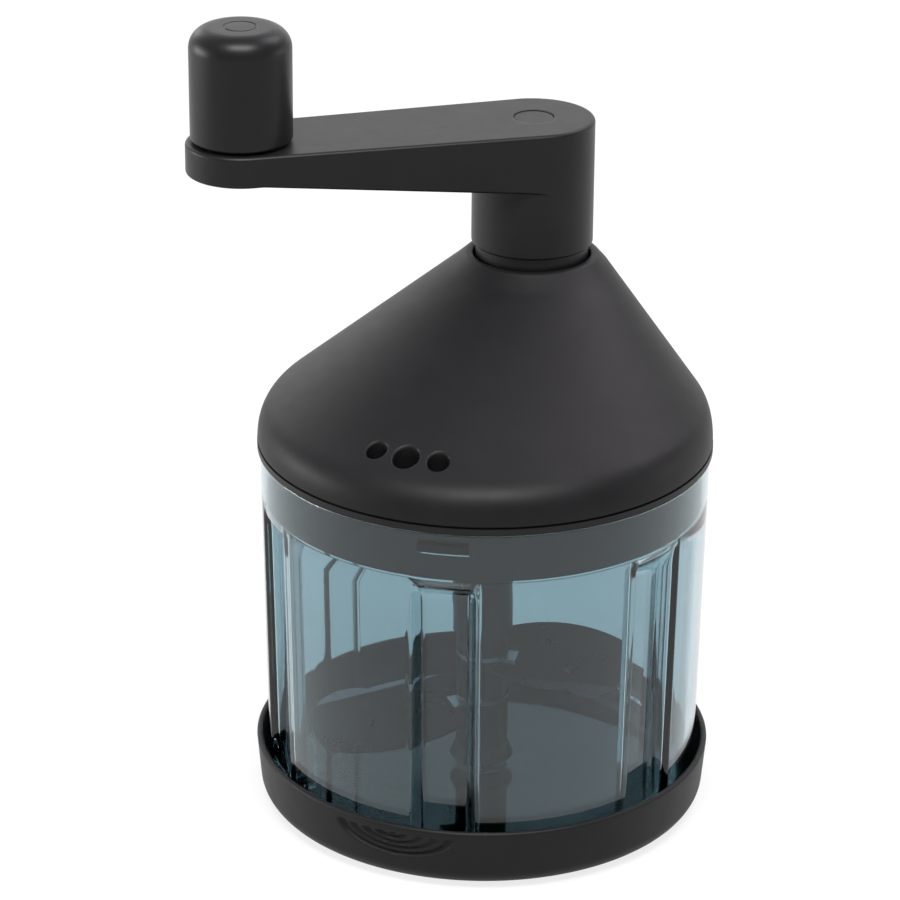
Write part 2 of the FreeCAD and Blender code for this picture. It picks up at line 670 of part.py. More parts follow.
def gear_cover():
    wall = COVER_WALL
    gear_r = COVER_GEAR_R
    pinion_r = COVER_PINION_R
    outer = capsule(gear_r + wall, HUB, pinion_r + wall, CENTRE, PLATE_Z, COVER_TOP_Z)
    inner = capsule(gear_r, HUB, pinion_r, CENTRE, PLATE_Z - 1, COVER_TOP_Z - wall)
    tabs = [cyl(COVER_TAB_R, PLATE_Z, PLATE_Z + COVER_TAB_T, p) for p in cover_screw_places()]
    boss_low = COVER_TOP_Z - 2 * wall
    boss = cyl(COVER_BOSS_R, boss_low, COVER_TOP_Z + wall)
    cover = fuse(outer, *tabs).cut(inner)
    cover = fuse(cover, boss).cut(cyl(PINION_STUB_R + RUN, boss_low - 1, COVER_TOP_Z + wall / 2))
    cover = cover.cut(cyl(COVER_HOLE_R, boss_low, COVER_TOP_Z + 1, HUB))
    for place in cover_screw_places():
        cover = cover.cut(cyl(SCREW_CLEAR_R, PLATE_Z - 1, PLATE_Z + COVER_TAB_T + 1, place))
    return cover


def gear_cover_screws():
    head = PLATE_Z + COVER_TAB_T
    tip = BOWL_TOP_Z - COVER_SCREW_TIP
    screws = [pan_screw(p, tip, head, SCREW_R, COVER_HEAD_R, 1) for p in cover_screw_places()]
    return Part.makeCompound(screws)


# ---- crank -------------------------------------------------------------
def gear_groove(outer):
    high = GEAR_Z - GEAR_CLIP_GAP
    return ring(outer, GEAR_GROOVE_R, high - GEAR_CLIP_T, high, HUB)


def crank_shaft():
    shoulder = GEAR_Z - GEAR_CLIP_GAP + GEAR_CLIP_T / 4
    neck = NECK_LOW_Z - GEAR_CLIP_T
    stub = cyl(PIVOT_R, BOWL_TOP_Z - PIVOT_SINK + SEAM, shoulder, HUB)
    seat = polygon_bar(6, GEAR_HEX, shoulder, GEAR_Z + GEAR_THICK, HUB)
    waist = cyl(WAIST_R, GEAR_Z + GEAR_THICK, neck, HUB)
    journal = cyl(JOURNAL_R, neck, COLLAR_LOW_Z, HUB)
    collar = cyl(COLLAR_R, COLLAR_LOW_Z, COLLAR_TOP_Z, HUB)
    drive = polygon_bar(6, DRIVE_HEX, COLLAR_TOP_Z, DRIVE_TOP_Z, HUB)
    shaft = fuse(stub, seat, waist, journal, collar, drive)
    thread = cyl(DRIVE_SCREW_R, DRIVE_SCREW_LOW - 1, DRIVE_TOP_Z + 1, HUB)
    return shaft.cut(gear_groove(WAIST_R)).cut(thread)


def gear_clip():
    corner = at(-GEAR_CLIP_MOUTH / 2, AXIS_GAP + 1, GEAR_Z - 3 * GEAR_CLIP_T)
    gap = Part.makeBox(GEAR_CLIP_MOUTH, GEAR_CLIP_R * 2, 3 * GEAR_CLIP_T, corner)
    return gear_groove(GEAR_CLIP_R).cut(gap)


def arm_end():
    return polar(ARM_LEN, ARM_ANGLE, HUB)


def below_arm():
    """Everything under the arm's sloping underside, which is level near the knob."""
    slope = (ARM_END_Z - ARM_ROOT_Z) / ARM_FLAT
    start = -2 * SLEEVE_R
    stop = ARM_LEN + 2 * ARM_END_R
    side = [(start, SLEEVE_LOW_Z), (start, ARM_ROOT_Z + slope * start), (ARM_FLAT, ARM_END_Z),
            (stop, ARM_END_Z), (stop, SLEEVE_LOW_Z)]
    wire = Part.makePolygon([at(x, start, z) for x, z in side + side[:1]])
    below = Part.Face(wire).extrude(at(0, -2 * start, 0))
    below.rotate(CENTRE, UP, ARM_ANGLE)
    below.translate(HUB)
    return below


def crank_arm():
    end = arm_end()
    bar = capsule(SLEEVE_R, HUB, ARM_END_R, end, DRIVE_TOP_Z, ARM_TOP_Z).cut(below_arm())
    sleeve = cyl(SLEEVE_R, SLEEVE_LOW_Z, ARM_TOP_Z, HUB)
    arm = fuse(bar, sleeve)
    rims = [e for e in arm.Edges if abs(e.BoundBox.ZMin - ARM_TOP_Z) < 1e-6]
    arm = arm.makeFillet(ARM_EDGE, rims)
    foot = [e for e in arm.Edges if abs(e.BoundBox.ZMax - SLEEVE_LOW_Z) < 1e-6]
    arm = arm.makeFillet(SLEEVE_EDGE, foot)
    arm = arm.cut(polygon_bar(6, DRIVE_HEX, SLEEVE_LOW_Z - 1, DRIVE_TOP_Z + ARM_SOCKET_GAP, HUB))
    arm = arm.cut(cyl(DRIVE_SCREW_R + SLOT_GAP, DRIVE_TOP_Z, CAP_SEAT_Z + 1, HUB))
    arm = arm.cut(cyl(CAP_R, CAP_SEAT_Z, ARM_TOP_Z + 1, HUB))
    return arm.cut(cyl(KNOB_PIN_R, ARM_END_Z - 1, ARM_TOP_Z + 1, end))


def crank_screw():
    return pan_screw(HUB, DRIVE_SCREW_LOW, CAP_SEAT_Z, DRIVE_SCREW_R, DRIVE_HEAD_R, 1)


def screw_cap():
    top = ARM_TOP_Z - CAP_SINK
    radius = CAP_R - CAP_FIT
    disc = cyl(radius, top - CAP_T, top, HUB)
    skirt = ring(radius, radius - CAP_T * 0.6, top - CAP_T * 2.5, top - CAP_T, HUB)
    rim = [e for e in disc.Edges if abs(e.BoundBox.ZMin - top) < 1e-6]
    return fuse(disc.makeFillet(CAP_SINK * 2, rim), skirt)


# ---- knob --------------------------------------------------------------
def clip_groove(outer):
    return ring(outer, CLIP_GROOVE_R, CLIP_Z, CLIP_Z + CLIP_T, arm_end())


def knob_pin():
    shank = cyl(KNOB_PIN_R, ARM_END_Z + SLOT_GAP, KNOB_PIN_TOP, arm_end())
    return shank.cut(clip_groove(CLIP_R))


def knob_washer():
    return ring(KNOB_WASHER_R, KNOB_PIN_R, ARM_TOP_Z, ARM_TOP_Z + KNOB_WASHER_T, arm_end())


def knob_clip():
    end = arm_end()
    corner = at(end.x - CLIP_GROOVE_R * 0.7, end.y + CLIP_T, CLIP_Z - 1)
    return clip_groove(CLIP_R).cut(Part.makeBox(CLIP_GROOVE_R * 1.4, CLIP_R, 3 * CLIP_T, corner))


def knob():
    end = arm_end()
    solid = cyl(KNOB_R, KNOB_LOW_Z, KNOB_TOP_Z, end)
    top = [e for e in solid.Edges if abs(e.BoundBox.ZMin - KNOB_TOP_Z) < 1e-6]
    solid = solid.makeFillet(KNOB_EDGE, top)
    low = [e for e in solid.Edges if abs(e.BoundBox.ZMax - KNOB_LOW_Z) < 1e-6]
    solid = solid.makeFillet(SLEEVE_EDGE, low)
    mark_low = KNOB_TOP_Z - KNOB_MARK_D
    mark = ring(KNOB_MARK_R + KNOB_MARK_W, KNOB_MARK_R, mark_low, KNOB_TOP_Z + 1, end)
    return solid.cut(mark).cut(cyl(KNOB_BORE_R, KNOB_LOW_Z - 1, KNOB_BORE_Z, end))


def knob_core():
    end = arm_end()
    low = KNOB_LOW_Z + KNOB_WASHER_T / 2
    web_low = KNOB_BORE_Z - CORE_WEB
    tube = cyl(CORE_R, low, KNOB_BORE_Z, end)
    foot = cyl(KNOB_BORE_R, low, low + CORE_WEB, end)
    head = cyl(KNOB_BORE_R, web_low, KNOB_BORE_Z, end)
    bore = cyl(KNOB_PIN_R + RUN, low - 1, CLIP_Z, end)
    return fuse(tube, foot, head).cut(bore).cut(cyl(CLIP_R + SLOT_GAP, CLIP_Z - CLIP_T, web_low, end))


NODES = (base_tray, tray_grip_pad, bowl, bowl_pivot_pin,
         blade_hub, lower_blade, blade_spacer, upper_blade, blade_shaft,
         lid_base, lid_shell, lid_screws, neck_bush, pinion_bush, pivot_bush,
         gear_cover, gear_cover_screws, drive_pinion,
         crank_shaft, crank_gear, gear_clip, crank_arm, crank_screw, screw_cap,
         knob_pin, knob_washer, knob_clip, knob, knob_core)

os.makedirs("parts", exist_ok=True)
for node in NODES:
    shape = node()
    shape.exportStep(os.path.join("parts", node.__name__ + ".step"))
    print(node.__name__, "valid" if shape.isValid() else "BAD", len(shape.Solids), round(shape.Volume, 1))
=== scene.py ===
import json
import math
import bmesh
import bpy
from mathutils import Matrix, Vector


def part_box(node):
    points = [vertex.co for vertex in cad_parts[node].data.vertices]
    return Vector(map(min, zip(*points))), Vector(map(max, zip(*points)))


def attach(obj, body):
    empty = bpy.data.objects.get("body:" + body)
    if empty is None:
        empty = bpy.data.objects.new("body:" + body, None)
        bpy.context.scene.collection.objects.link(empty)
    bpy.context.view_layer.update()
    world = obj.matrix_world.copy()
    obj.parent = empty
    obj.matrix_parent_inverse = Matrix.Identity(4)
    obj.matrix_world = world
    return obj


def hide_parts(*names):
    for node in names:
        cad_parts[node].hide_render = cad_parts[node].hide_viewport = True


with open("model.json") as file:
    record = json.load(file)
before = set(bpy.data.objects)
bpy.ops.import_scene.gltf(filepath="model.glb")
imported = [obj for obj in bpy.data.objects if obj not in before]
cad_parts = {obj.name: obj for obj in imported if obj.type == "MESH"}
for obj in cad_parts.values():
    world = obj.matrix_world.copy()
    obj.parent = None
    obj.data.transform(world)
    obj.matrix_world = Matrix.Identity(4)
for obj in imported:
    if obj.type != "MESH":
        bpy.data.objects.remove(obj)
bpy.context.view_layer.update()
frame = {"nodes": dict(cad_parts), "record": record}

# Looks of a hand crank food chopper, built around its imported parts.
# Meshes are worked out in millimetres in the frame of the parts, and scaled once by MM.
MM = 0.001


def extent(node):
    low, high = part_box(node)
    return low / MM, high / MM


def middle(node):
    low, high = extent(node)
    return (low + high) / 2


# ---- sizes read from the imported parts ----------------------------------
HUB = middle("crank_shaft")
KNOB = middle("knob")
LID_R = extent("lid_shell")[1].x
LID_LOW_Z = extent("lid_shell")[0].z
LIP_Z = extent("lid_shell")[1].z
BOWL_TOP_R = extent("bowl")[1].x
BOWL_TOP_Z = extent("bowl")[1].z
BOWL_LOW_Z = extent("bowl")[0].z
TRAY_RIM_R = extent("base_tray")[1].x
TRAY_UNDER_Z = extent("base_tray")[0].z
TRAY_TOP_Z = extent("base_tray")[1].z
SLEEVE_LOW_Z = extent("crank_arm")[0].z
ARM_TOP_Z = extent("crank_arm")[1].z
KNOB_LOW_Z = extent("knob")[0].z
KNOB_TOP_Z = extent("knob")[1].z
KNOB_R = extent("knob")[1].x - KNOB.x

# ---- camera ------------------------------------------------------------
VIEW_AZIMUTH = math.radians(24.1)
VIEW_YAW = math.radians(0.5545)
VIEW_PITCH = 0.40916
VIEW_ROLL = 0.00762
VIEW_DISTANCE = 953.2
VIEW_HEIGHT = 512.2
LENS = 157.27


# ---- mesh helpers ------------------------------------------------------
def mesh_object(name, points, faces, smooth_angle=40.0):
    mesh = bpy.data.meshes.new(name)
    mesh.from_pydata([Vector(p) * MM for p in points], [], faces)
    mesh.validate()
    made = bpy.data.objects.new(name, mesh)
    bpy.context.scene.collection.objects.link(made)
    work = bmesh.new()
    work.from_mesh(mesh)
    bmesh.ops.remove_doubles(work, verts=work.verts, dist=2e-6)
    bmesh.ops.recalc_face_normals(work, faces=work.faces)
    work.to_mesh(mesh)
    work.free()
    mesh.shade_smooth()
    mesh.set_sharp_from_angle(angle=math.radians(smooth_angle))
    return made


def skin(name, rows, looped=False, smooth_angle=40.0):
    """Surface over rows of points. Each row is a closed ring, and a row of one point is a pole."""
    points = []
    starts = []
    for row in rows:
        starts.append(len(points))
        points += row
    faces = []
    pairs = [(i, i + 1) for i in range(len(rows) - 1)]
    if looped:
        pairs.append((len(rows) - 1, 0))
    for i, j in pairs:
        count = max(len(rows[i]), len(rows[j]))
        for k in range(count):
            n = (k + 1) % count
            if len(rows[i]) == 1:
                faces.append((starts[i], starts[j] + n, starts[j] + k))
            elif len(rows[j]) == 1:
                faces.append((starts[i] + k, starts[i] + n, starts[j]))
            else:
                faces.append((starts[i] + k, starts[i] + n, starts[j] + n, starts[j] + k))
    return mesh_object(name, points, faces, smooth_angle)


def rounded(outline, steps=6):
    """Points (a, b) of an outline of (a, b, corner radius), each corner turned into an arc."""
    made = [outline[0][:2]]
    for before, corner, after in zip(outline, outline[1:], outline[2:]):
        p = Vector(corner[:2])
        into = (Vector(before[:2]) - p).normalized()
        out = (Vector(after[:2]) - p).normalized()
        radius = corner[2]
        angle = math.acos(max(-1.0, min(1.0, into.dot(out))))
        if radius <= 0 or angle > math.pi - 1e-3:
            made.append(tuple(p))
            continue
        reach = radius / math.tan(angle / 2)
        centre = p + (into + out).normalized() * (radius / math.sin(angle / 2))
        first = p + into * reach - centre
        last = p + out * reach - centre
        turn = first.angle_signed(last)
        for k in range(steps + 1):
            a = -turn * k / steps
            spoke = Vector((first.x * math.cos(a) - first.y * math.sin(a),
                            first.x * math.sin(a) + first.y * math.cos(a)))
            made.append(tuple(centre + spoke))
    made.append(outline[-1][:2])
    return made


def dense(outline, step):
    """The same outline with its long straight stretches divided."""
    made = [outline[0]]
    for a, b in zip(outline, outline[1:]):
        parts = max(1, math.ceil(math.dist(a, b) / step))
        made += [(a[0] + (b[0] - a[0]) * k / parts, a[1] + (b[1] - a[1]) * k / parts)
                 for k in range(1, parts + 1)]
    return made


def circle(radius, z, count=256, x=0.0, y=0.0):
    if radius < 1e-6:
        return [(x, y, z)]
    turns = [2 * math.pi * k / count for k in range(count)]
    return [(x + radius * math.cos(a), y + radius * math.sin(a), z) for a in turns]


def lathe(name, outline, centre=(0.0, 0.0), count=256, looped=False, smooth_angle=40.0):
    rows = [circle(r, z, count, centre[0], centre[1]) for r, z in outline]
    return skin(name, rows, looped, smooth_angle)


def even(low, high, step):
    parts = max(1, round((high - low) / step))
    return [low + (high - low) * k / parts for k in range(parts + 1)]


def ease(x, soft):
    """Clamp to 0..1 whose two corners are rounded over soft."""
    if x <= -soft:
        return 0.0
    if x < soft:
        return (x + soft) ** 2 / (4 * soft)
    if x <= 1 - soft:
        return x
    if x < 1 + soft:
        return 1 - (1 + soft - x) ** 2 / (4 * soft)
    return 1.0


def soft_min(a, b, blend):
    h = max(blend - abs(a - b), 0.0) / blend
    return min(a, b) - h * h * blend / 4


def apply_modifiers(made):
    graph = bpy.context.evaluated_depsgraph_get()
    mesh = bpy.data.meshes.new_from_object(made.evaluated_get(graph))
    made.modifiers.clear()
    made.data = mesh


def combine(made, cutter, operation):
    """Boolean of two closed meshes; the second one is used up."""
    step = made.modifiers.new("shape", "BOOLEAN")
    step.operation = operation
    step.solver = "EXACT"
    step.object = cutter
    apply_modifiers(made)
    bpy.data.objects.remove(cutter)


def even_normals(made, smooth_angle=40.0):
    made.data.shade_smooth()
    made.data.set_sharp_from_angle(angle=math.radians(smooth_angle))
    step = made.modifiers.new("normals", "WEIGHTED_NORMAL")
    step.keep_sharp = True
    apply_modifiers(made)


# ---- materials ---------------------------------------------------------
class Finish:
    """A node material with a few shorthands."""

    def __init__(self, name):
        self.material = bpy.data.materials.new(name)
        self.material.use_nodes = True
        self.tree = self.material.node_tree
        self.shader = self.tree.nodes["Principled BSDF"]
        self.place = self.node("ShaderNodeTexCoord").outputs["Object"]

    def node(self, kind, **settings):
        made = self.tree.nodes.new(kind)
        for key, value in settings.items():
            setattr(made, key, value)
        return made

    def link(self, source, target):
        self.tree.links.new(source, target)

    def noise(self, size_mm, detail=3.0, roughness=0.5, stretch=(1, 1, 1)):
        mapping = self.node("ShaderNodeMapping")
        mapping.inputs["Scale"].default_value = stretch
        self.link(self.place, mapping.inputs["Vector"])
        noise = self.node("ShaderNodeTexNoise")
        noise.inputs["Scale"].default_value = 1.0 / (size_mm * MM)
        noise.inputs["Detail"].default_value = detail
        noise.inputs["Roughness"].default_value = roughness
        self.link(mapping.outputs["Vector"], noise.inputs["Vector"])
        return noise.outputs["Fac"]

    def span(self, source, low, high, from_low=0.3, from_high=0.7):
        ramp = self.node("ShaderNodeMapRange")
        ramp.inputs["From Min"].default_value = from_low
        ramp.inputs["From Max"].default_value = from_high
        ramp.inputs["To Min"].default_value = low
        ramp.inputs["To Max"].default_value = high
        self.link(source, ramp.inputs["Value"])
        return ramp.outputs["Result"]

    def shade(self, source, dark, light):
        mix = self.node("ShaderNodeMix", data_type="RGBA")
        mix.inputs["A"].default_value = (*dark, 1)
        mix.inputs["B"].default_value = (*light, 1)
        self.link(source, mix.inputs["Factor"])
        self.link(mix.outputs["Result"], self.shader.inputs["Base Color"])

    def bump(self, source, depth_mm, strength=1.0, under=None):
        bump = self.node("ShaderNodeBump")
        bump.inputs["Distance"].default_value = depth_mm * MM
        bump.inputs["Strength"].default_value = strength
        self.link(source, bump.inputs["Height"])
        if under is not None:
            self.link(under, bump.inputs["Normal"])
        self.link(bump.outputs["Normal"], self.shader.inputs["Normal"])
        return bump.outputs["Normal"]

    def set(self, **values):
        for key, value in values.items():
            self.shader.inputs[key.replace("_", " ")].default_value = value
        return self


MOTTLE = 0.16
UNEVEN_GLOSS = 0.02


def scaled(colour, factor):
    return tuple(c * factor for c in colour)


def moulded(name, colour, rough, grain_mm=0.35, grain_depth=0.012, shine=0.2):
    """Spark-textured moulded plastic: fine grain, faint flow mottling, uneven gloss."""
    f = Finish(name)
    f.set(Specular_IOR_Level=shine)
    f.shade(f.span(f.noise(14.0, 4.0), 0, 1), scaled(colour, 1 - MOTTLE), scaled(colour, 1 + MOTTLE))
    gloss = f.noise(5.0, 6.0, 0.65)
    f.link(f.span(gloss, rough - UNEVEN_GLOSS, rough + UNEVEN_GLOSS), f.shader.inputs["Roughness"])
    broad = f.bump(f.noise(9.0, 2.0), 0.004, 0.5)
    f.bump(f.noise(grain_mm, 2.0, 0.6), grain_depth, 0.8, broad)
    return f.material


def clear_tint(name, colour):
    """Polished tinted plastic with faint moulding waves and hairline scratches."""
    f = Finish(name)
    f.set(Transmission_Weight=1.0, IOR=1.5)
    f.shade(f.span(f.noise(30.0, 2.0), 0, 1), scaled(colour, 0.985), scaled(colour, 1.015))
    f.link(f.span(f.noise(3.0, 5.0, 0.6), 0.0, 0.035), f.shader.inputs["Roughness"])
    waves = f.bump(f.noise(22.0, 1.0), 0.03, 0.35)
    f.bump(f.noise(0.8, 2.0, 0.5, (1, 1, 0.12)), 0.001, 0.4, waves)
    return f.material


def ground_steel(name, colour, rough, stretch):
    """Ground steel: a fine grain, drawn out along any axis whose stretch is small."""
    f = Finish(name)
    f.set(Metallic=1.0)
    lines = f.noise(0.5, 4.0, 0.7, stretch)
    f.shade(f.span(lines, 0, 1), scaled(colour, 0.97), scaled(colour, 1.03))
    f.link(f.span(f.noise(6.0, 4.0), rough - 0.04, rough + 0.05), f.shader.inputs["Roughness"])
    f.bump(lines, 0.0004, 0.1)
    return f.material


FINISHES = {
    "tray": moulded("tray_plastic", (0.0062, 0.006, 0.0062), 0.5, 0.4, 0.012, shine=0.18),
    "grip_rubber": moulded("grip_rubber", (0.02, 0.02, 0.021), 0.75, 0.6, 0.02),
    "tinted_clear": clear_tint("bowl_plastic", (0.425, 0.565, 0.613)),
    "steel": ground_steel("blade_steel", (0.33, 0.335, 0.35), 0.3, (1, 0.06, 1)),
    "screw_steel": ground_steel("screw_steel", (0.5, 0.5, 0.52), 0.3, (1, 1, 1)),
    "hub_plastic": moulded("hub_plastic", (0.018, 0.018, 0.019), 0.4),
    "lid_black": moulded("lid_plastic", (0.0065, 0.006, 0.0068), 0.48, 0.3, 0.008, shine=0.16),
    "lid_base_black": moulded("lid_base_plastic", (0.007, 0.0068, 0.007), 0.42),
    "arm_black": moulded("arm_plastic", (0.0062, 0.006, 0.0062), 0.4, 0.3, 0.006),
    "knob_black": moulded("knob_plastic", (0.0058, 0.0055, 0.006), 0.36, 0.25, 0.004),
    "inner_plastic": moulded("gear_plastic", (0.018, 0.018, 0.0185), 0.42),
    "bush_plastic": moulded("bush_plastic", (0.5, 0.49, 0.46), 0.4),
}

NODE_SLOTS = {
    "base_tray": "tray", "tray_grip_pad": "grip_rubber",
    "bowl": "tinted_clear", "bowl_pivot_pin": "screw_steel",
    "blade_hub": "hub_plastic", "lower_blade": "steel", "blade_spacer": "hub_plastic",
    "upper_blade": "steel", "blade_shaft": "hub_plastic",
    "lid_base": "lid_base_black", "lid_shell": "lid_black", "lid_screws": "screw_steel",
    "neck_bush": "bush_plastic", "pinion_bush": "bush_plastic", "pivot_bush": "bush_plastic",
    "gear_cover": "inner_plastic", "gear_cover_screws": "screw_steel", "drive_pinion": "hub_plastic",
    "crank_shaft": "arm_black", "crank_gear": "inner_plastic", "gear_clip": "screw_steel",
    "crank_arm": "arm_black", "crank_screw": "screw_steel", "screw_cap": "arm_black",
    "knob_pin": "screw_steel", "knob_washer": "inner_plastic", "knob_clip": "screw_steel",
    "knob": "knob_black", "knob_core": "inner_plastic",
}

BODIES = frame["record"]["behaviour"]["bodies"]
BODY_OF = {node: body for body, nodes in BODIES.items() for node in nodes}


def paint(made, slot):
    made.data.materials.clear()
    made.data.materials.append(FINISHES[slot])


def stand_for(made, node):
    """The new mesh takes the place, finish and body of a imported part."""
    slot = NODE_SLOTS[node]
    paint(made, slot)
    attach(made, BODY_OF[node])
    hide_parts(node)


# ---- bowl --------------------------------------------------------------
FLUTES = 6
FLUTE_FIRST = math.radians(14.0 - 90.0)
FLUTE_DEPTH = 4.4
FLUTE_HALF_W = 8.6
FLUTE_SLOPE = 2.2
FLUTE_TOP_Z = 86.6
FLUTE_RUNOUT = 4.4
FLUTE_BULGE = 0.9
FLUTE_BLEND = 0.25
FLUTE_SOFT = 0.22
FLUTE_ZONE = 12.4
BOWL_FOOT_R = 57.8
BOWL_WALL_R = 59.4
BOWL_WALL_Z = 91.0
BOWL_EDGE = 9.0
BOWL_WALL = 2.4
BAND_R = 57.4
BAND_Z = 87.4
LUGS = 3
SLOT_HALF_W = 6.6
SLOT_LOW_Z = 95.05
SLOT_R = 58.45
SLOT_STEP = 0.04
SLOT_FACE = 0.6
WALL_BLEND = 0.6
RIM_EDGE = 0.5
BAND_SPLIT_LOW_Z = 97.0
BAND_SPLIT_HIGH_Z = 98.0
SOCKET_HOLE_R = 2.0
SOCKET_LOW = 1.2
BOSS_R = 6.5
BOSS_Z = 9.4


def offset_from(angle, first, count, radius):
    """Arc length from the nearest of count equally spaced directions."""
    pitch = 2 * math.pi / count
    away = (angle - first + pitch / 2) % pitch - pitch / 2
    return away * radius


def flute_depth(angle, z, wider):
    """Depth of the nearest flute, which has sloping sides and a sloping upper end."""
    across = abs(offset_from(angle, FLUTE_FIRST, FLUTES, BOWL_FOOT_R))
    side = (FLUTE_HALF_W + wider - across) / FLUTE_SLOPE
    top = (FLUTE_TOP_Z + wider * 0.4 - z) / FLUTE_RUNOUT
    return FLUTE_DEPTH * ease(soft_min(side, top, FLUTE_BLEND), FLUTE_SOFT)


def bowl_angles():
    """Directions of the bowl's spokes, close together across each flute."""
    pitch = 2 * math.pi / FLUTES
    reach = FLUTE_ZONE / BOWL_FOOT_R
    across = [u / BOWL_FOOT_R for u in even(-FLUTE_ZONE, FLUTE_ZONE, 0.36)]
    sides = [SLOT_HALF_W - SLOT_STEP, SLOT_HALF_W + SLOT_STEP]
    slot_edges = [side * half / BAND_R for side in (-1, 1) for half in sides]
    rest = even(reach, pitch - reach, 0.022)[1:-1]
    one = sorted(across + slot_edges + rest)
    return [FLUTE_FIRST + pitch * k + a for k in range(FLUTES) for a in one]


def bowl():
    low = BOWL_LOW_Z
    inner_low = low + BOWL_WALL
    socket_low = low + SOCKET_LOW
    outer = rounded([(0, low, 0), (BOWL_FOOT_R, low, BOWL_EDGE), (BOWL_WALL_R, BOWL_WALL_Z, 0),
                     (BOWL_TOP_R, BOWL_TOP_Z, RIM_EDGE), (BAND_R, BOWL_TOP_Z, RIM_EDGE),
                     (BAND_R, BAND_SPLIT_HIGH_Z, 0)], 12)
    inner = rounded([(BAND_R, BAND_SPLIT_LOW_Z, 0), (BAND_R, BAND_Z, 0.15),
                     (BOWL_WALL_R - BOWL_WALL, BAND_Z, 0.15),
                     (BOWL_FOOT_R - BOWL_WALL, inner_low, BOWL_EDGE - BOWL_WALL),
                     (BOSS_R, inner_low, 0.8), (BOSS_R, BOSS_Z, 0.6), (SOCKET_HOLE_R, BOSS_Z, 0.2),
                     (SOCKET_HOLE_R, socket_low, 0), (0, socket_low, 0)], 8)
    outer = dense(outer, 2.2)
    inner = dense(inner, 2.2)
    on_band = [p for p in inner if p[0] > BAND_R - 0.01]
    step_rows = [(BAND_R, SLOT_LOW_Z + SLOT_STEP), (BAND_R, SLOT_LOW_Z - SLOT_STEP)]
    inner = sorted(on_band + step_rows, key=lambda p: -p[1]) + inner[len(on_band):]
    angles = bowl_angles()

    def wall_radius(z):
        rise = (z - low - BOWL_EDGE) / (BOWL_WALL_Z - low - BOWL_EDGE)
        return BOWL_FOOT_R + (BOWL_WALL_R - BOWL_FOOT_R) * rise

    def outside(r, z, angle):
        if r <= BOWL_FOOT_R / 2:
            return r
        return soft_min(r, wall_radius(z) - flute_depth(angle, z, 0.0), WALL_BLEND)

    def inside(r, z, angle):
        if z > BAND_Z - 0.2:
            across = abs(offset_from(angle, FLUTE_FIRST, LUGS, BAND_R))
            in_slot = across < SLOT_HALF_W and z > SLOT_LOW_Z and r > BAND_R - SLOT_FACE
            return SLOT_R if in_slot else r
        if r < BOWL_FOOT_R / 2:
            return r
        return soft_min(r, wall_radius(z) - BOWL_WALL - flute_depth(angle, z, FLUTE_BULGE), WALL_BLEND)

    rows = []
    for outline, radius in ((outer, outside), (inner, inside)):
        for r, z in outline:
            if r < 1e-6:
                rows.append([(0.0, 0.0, z)])
                continue
            spokes = [(radius(r, z, a), a) for a in angles]
            rows.append([(s * math.cos(a), s * math.sin(a), z) for s, a in spokes])
    made = skin("bowl_visual", rows, smooth_angle=50.0)
    stand_for(made, "bowl")


# ---- tray --------------------------------------------------------------
TRAY_FOOT_R = 59.7
TRAY_FLOOR_Z = 3.6
TRAY_RIM_Z = 16.4
TRAY_EDGE = 5.0
TRAY_LIP = 0.85
TRAY_SEAT_R = 58.0
TRAY_CURVE = 4.0
GRIP_R = 52.0
GRIP_TOP_Z = 1.8
PAD_HALF_W = 17.4
PAD_HALF_H = 7.0
PAD_TOP_Z = 15.0
PAD_ANGLE = math.radians(2.0 - 90.0)
PAD_DEPTH = 0.95
PAD_RIDGES = 4.5
PAD_BLEND = 0.4
PAD_MARGIN = 0.6
PAD_VALLEY = 0.3
PAD_WALL_ZONE = 1.0
PAD_TOP_ZONE = 0.5


def pad_depth(across, z):
    """Depth of the half-elliptic finger pad with its nested ridges."""
    below = PAD_TOP_Z - z
    reach = math.hypot(across / PAD_HALF_W, max(below, 0.0) / PAD_HALF_H)
    edge = ease((1 - reach) * PAD_HALF_H / PAD_BLEND, 0.3) * ease(below / PAD_BLEND, 0.3)
    ridge = 0.5 - 0.5 * math.cos(2 * math.pi * (1 - reach) * PAD_RIDGES)
    return PAD_DEPTH * edge * (PAD_VALLEY + (1 - PAD_VALLEY) * ridge)


